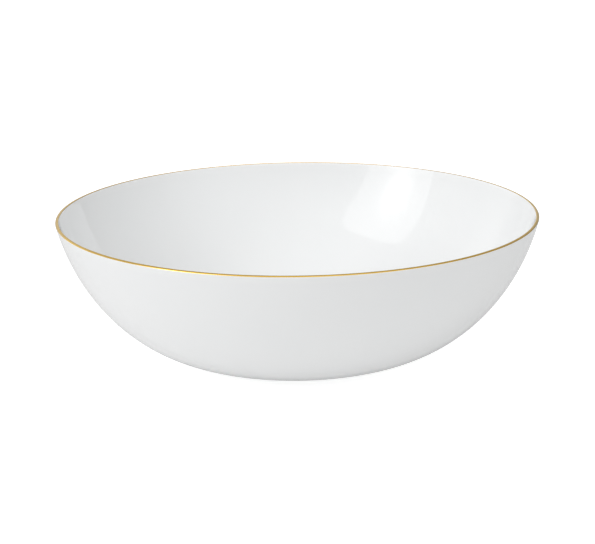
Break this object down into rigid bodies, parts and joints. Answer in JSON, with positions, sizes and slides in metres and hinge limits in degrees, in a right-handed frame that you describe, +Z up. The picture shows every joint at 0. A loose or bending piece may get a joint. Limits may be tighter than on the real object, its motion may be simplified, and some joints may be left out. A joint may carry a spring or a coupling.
{
  "type": "serving bowl",
  "caption": "Round porcelain serving bowl with a smooth flaring wall, a wide level well, a low foot ring and a thin gilded line on its lip.",
  "frame": {"origin": "centre of the foot ring's standing plane, on the bowl's axis of revolution", "axes": "+Z up along the axis of revolution, out of the bowl's mouth; +X and +Y are any two square directions in the standing plane"},
  "size_m": [0.3, 0.3, 0.0936],
  "materials": {
    "bisque_porcelain": "matte",
    "clear_glaze": "gloss",
    "fired_gold": "polished"
  },
  "bodies": {
    "root": {"porcelain_body": "bisque_porcelain", "foot_ring": "bisque_porcelain", "inside_glaze": "clear_glaze", "outside_glaze": "clear_glaze", "recess_glaze": "clear_glaze", "gold_rim_band": "fired_gold"}
  },
  "joints": []
}
